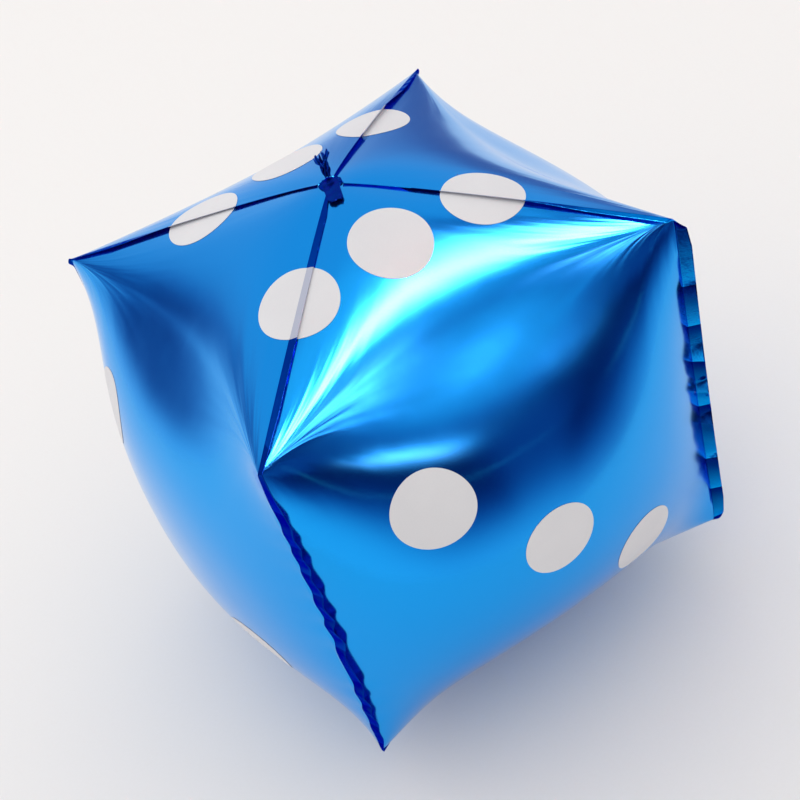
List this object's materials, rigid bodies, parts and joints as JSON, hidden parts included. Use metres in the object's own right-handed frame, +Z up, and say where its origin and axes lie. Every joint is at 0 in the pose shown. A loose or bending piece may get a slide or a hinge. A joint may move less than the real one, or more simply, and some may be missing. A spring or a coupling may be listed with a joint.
{
  "type": "inflatable foil cube balloon printed as a giant die",
  "caption": "Giant inflatable die: metallic blue foil cube balloon with pale printed pips, welded corner seams, filling neck and self-sealing valve.",
  "frame": {"origin": "on the floor under the centre of the die", "axes": "+Z up, -Y towards the three-pip face, -X towards the two-pip face"},
  "size_m": [0.5223, 0.5223, 0.514],
  "materials": {
    "foil": "mirror-bright metallised film",
    "seam_foil": "metallised film, crimped by the weld",
    "neck_foil": "metallised film",
    "weld": "fused film",
    "print": "opaque light grey printing ink",
    "valve_film": "clear film"
  },
  "bodies": {
    "balloon": {"panel_back": "foil", "panel_front": "foil", "panel_left": "foil", "panel_right": "foil", "pip_five_centre_middle": "print", "pip_five_lower_left": "print", "pip_five_lower_right": "print", "pip_five_upper_left": "print", "pip_five_upper_right": "print", "pip_four_lower_left": "print", "pip_four_lower_right": "print", "pip_four_upper_left": "print", "pip_four_upper_right": "print", "pip_one_centre_middle": "print", "pip_six_lower_left": "print", "pip_six_lower_middle": "print", "pip_six_lower_right": "print", "pip_six_upper_left": "print", "pip_six_upper_middle": "print", "pip_six_upper_right": "print", "pip_three_centre_middle": "print", "pip_three_lower_right": "print", "pip_three_upper_left": "print", "pip_two_lower_right": "print", "pip_two_upper_left": "print", "seam_back_left": "seam_foil", "seam_back_right": "seam_foil", "seam_front_left": "seam_foil", "seam_front_right": "seam_foil", "tip_gather": "seam_foil", "tip_weld_bottom": "weld", "tip_weld_top": "weld", "valve_back_ply": "valve_film", "valve_front_ply": "valve_film"},
    "neck": {"neck_lower_ply": "neck_foil", "neck_upper_ply": "neck_foil"}
  },
  "joints": [
    {"name": "neck_fold", "type": "hinge", "parent": "balloon", "child": "neck", "pos_m": [0.00171, 0.0047, 0.4945], "axis": [-0.9397, 0.342, 0], "range_deg": [0, 80]}
  ]
}
